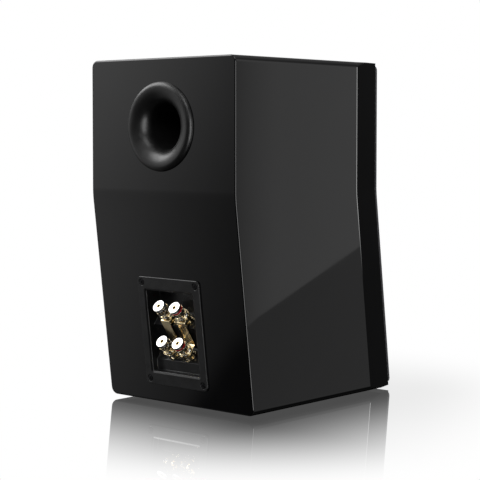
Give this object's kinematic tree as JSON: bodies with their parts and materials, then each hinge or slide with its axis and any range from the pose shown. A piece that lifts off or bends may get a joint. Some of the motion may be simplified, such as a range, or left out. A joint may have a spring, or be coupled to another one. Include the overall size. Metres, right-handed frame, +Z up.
{
  "type": "bookshelf speaker",
  "caption": "Two-way bookshelf loudspeaker with a bent gloss-black cabinet, rear port, recessed terminal cup with binding posts, and a pull-off cloth grille.",
  "frame": {"origin": "under the middle of the whole object, on the plane its feet stand on", "axes": "+Z up, -Y out of the front with the grille, +Y out of the back with the port and terminals, +X to the left seen from behind"},
  "size_m": [0.216, 0.2966, 0.3813],
  "materials": {
    "lacquered_wood": "black polyester lacquer polished to a mirror gloss over fibreboard",
    "raw_wood": "bare medium-density fibreboard",
    "damping_fibre": "matted polyester fibre",
    "rubber": "matte black rubber",
    "magnet_ferrite": "dull dark ferrite",
    "plated_steel": "zinc-plated steel",
    "port_plastic": "smooth satin black plastic",
    "cup_plastic": "finely textured satin black plastic",
    "black_screws": "black oxide",
    "clear_plastic": "clear polished plastic",
    "gold_metal": "polished gold plate",
    "silver_metal": "bright satin nickel plate",
    "black_band": "gloss black",
    "red_band": "gloss red",
    "basket_metal": "black powder coat",
    "cone_material": "woven composite, satin black",
    "treated_cloth": "resin-treated cloth",
    "copper": "enamelled copper wire",
    "dome_aluminium": "satin anodised",
    "mesh_steel": "black perforated steel",
    "board": "glass-fibre board with solder mask",
    "capacitor_film": "taped film",
    "resistor_ceramic": "cement ceramic",
    "wire_black": "black insulation",
    "wire_red": "red insulation",
    "grille_plastic": "moulded black plastic",
    "grille_fabric": "stretched woven black acoustic cloth"
  },
  "bodies": {
    "cabinet": {"cabinet_wrap": "lacquered_wood", "front_baffle": "lacquered_wood", "back_panel": "lacquered_wood", "window_brace": "raw_wood", "damping_pads": "damping_fibre", "rubber_feet": "rubber", "baffle_magnets": "plated_steel", "port_flare": "port_plastic", "port_tube": "port_plastic", "terminal_cup": "cup_plastic", "terminal_screws": "black_screws", "post_collars": "clear_plastic", "post_studs": "gold_metal", "post_nuts": "gold_metal", "jumper_negative": "gold_metal", "jumper_positive": "gold_metal", "woofer_basket": "basket_metal", "woofer_surround": "rubber", "woofer_spider": "treated_cloth", "woofer_magnet": "magnet_ferrite", "woofer_steel": "plated_steel", "woofer_screws": "black_screws", "tweeter_faceplate": "basket_metal", "tweeter_surround": "treated_cloth", "tweeter_mesh": "mesh_steel", "tweeter_magnet": "magnet_ferrite", "tweeter_steel": "plated_steel", "tweeter_rear_cup": "cup_plastic", "tweeter_screws": "black_screws", "crossover_board": "board", "inductors": "copper", "capacitors": "capacitor_film", "resistors": "resistor_ceramic", "input_wires": "wire_black", "driver_wires": "wire_red"},
    "grille": {"grille_frame": "grille_plastic", "grille_cloth": "grille_fabric", "grille_magnets": "plated_steel"},
    "woofer_diaphragm": {"woofer_cone": "cone_material", "woofer_dust_cap": "cone_material", "woofer_voice_coil": "copper"},
    "tweeter_diaphragm": {"tweeter_dome": "dome_aluminium", "tweeter_voice_coil": "copper"},
    "washer_upper_neg": {"clamp_washer_upper_neg": "gold_metal"},
    "knob_upper_neg": {"knob_core_upper_neg": "silver_metal", "knob_sleeve_upper_neg": "clear_plastic", "knob_band_upper_neg": "black_band"},
    "washer_upper_pos": {"clamp_washer_upper_pos": "gold_metal"},
    "knob_upper_pos": {"knob_core_upper_pos": "silver_metal", "knob_sleeve_upper_pos": "clear_plastic", "knob_band_upper_pos": "red_band"},
    "washer_lower_neg": {"clamp_washer_lower_neg": "gold_metal"},
    "knob_lower_neg": {"knob_core_lower_neg": "silver_metal", "knob_sleeve_lower_neg": "clear_plastic", "knob_band_lower_neg": "black_band"},
    "washer_lower_pos": {"clamp_washer_lower_pos": "gold_metal"},
    "knob_lower_pos": {"knob_core_lower_pos": "silver_metal", "knob_sleeve_lower_pos": "clear_plastic", "knob_band_lower_pos": "red_band"}
  },
  "joints": [
    {"name": "grille_pull", "type": "slide", "parent": "cabinet", "child": "grille", "axis": [0, -1, 0], "range_m": [0, 0.06]},
    {"name": "woofer_excursion", "type": "slide", "parent": "cabinet", "child": "woofer_diaphragm", "axis": [0, -0.9923, 0.1241], "range_m": [-0.005, 0.005], "stiffness_N_per_m": 1200, "deforming": ["woofer_surround", "woofer_spider"]},
    {"name": "tweeter_excursion", "type": "slide", "parent": "cabinet", "child": "tweeter_diaphragm", "axis": [0, -1, 0], "range_m": [-0.0005, 0.0005], "stiffness_N_per_m": 900, "deforming": ["tweeter_surround"]},
    {"name": "washer_slide_upper_neg", "type": "slide", "parent": "cabinet", "child": "washer_upper_neg", "axis": [0, 0.7894, 0.6139], "range_m": [0, 0.005]},
    {"name": "knob_turn_upper_neg", "type": "hinge", "parent": "washer_upper_neg", "child": "knob_upper_neg", "pos_m": [0.0118, 0.12791, 0.10734], "axis": [0, 0.7894, 0.6139], "range_deg": [0, 1800]},
    {"name": "washer_slide_upper_pos", "type": "slide", "parent": "cabinet", "child": "washer_upper_pos", "axis": [0, 0.7894, 0.6139], "range_m": [0, 0.005]},
    {"name": "knob_turn_upper_pos", "type": "hinge", "parent": "washer_upper_pos", "child": "knob_upper_pos", "pos_m": [-0.0118, 0.12791, 0.10734], "axis": [0, 0.7894, 0.6139], "range_deg": [0, 1800]},
    {"name": "washer_slide_lower_neg", "type": "slide", "parent": "cabinet", "child": "washer_lower_neg", "axis": [0, 0.7894, 0.6139], "range_m": [0, 0.005]},
    {"name": "knob_turn_lower_neg", "type": "hinge", "parent": "washer_lower_neg", "child": "knob_lower_neg", "pos_m": [0.0118, 0.12301, 0.06815], "axis": [0, 0.7894, 0.6139], "range_deg": [0, 1800]},
    {"name": "washer_slide_lower_pos", "type": "slide", "parent": "cabinet", "child": "washer_lower_pos", "axis": [0, 0.7894, 0.6139], "range_m": [0, 0.005]},
    {"name": "knob_turn_lower_pos", "type": "hinge", "parent": "washer_lower_pos", "child": "knob_lower_pos", "pos_m": [-0.0118, 0.12301, 0.06815], "axis": [0, 0.7894, 0.6139], "range_deg": [0, 1800]}
  ],
  "couplings": [
    {"joint": "knob_turn_upper_neg", "follows": "washer_slide_upper_neg", "rad_per_m": 6283.2},
    {"joint": "knob_turn_upper_pos", "follows": "washer_slide_upper_pos", "rad_per_m": 6283.2},
    {"joint": "knob_turn_lower_neg", "follows": "washer_slide_lower_neg", "rad_per_m": 6283.2},
    {"joint": "knob_turn_lower_pos", "follows": "washer_slide_lower_pos", "rad_per_m": 6283.2}
  ]
}
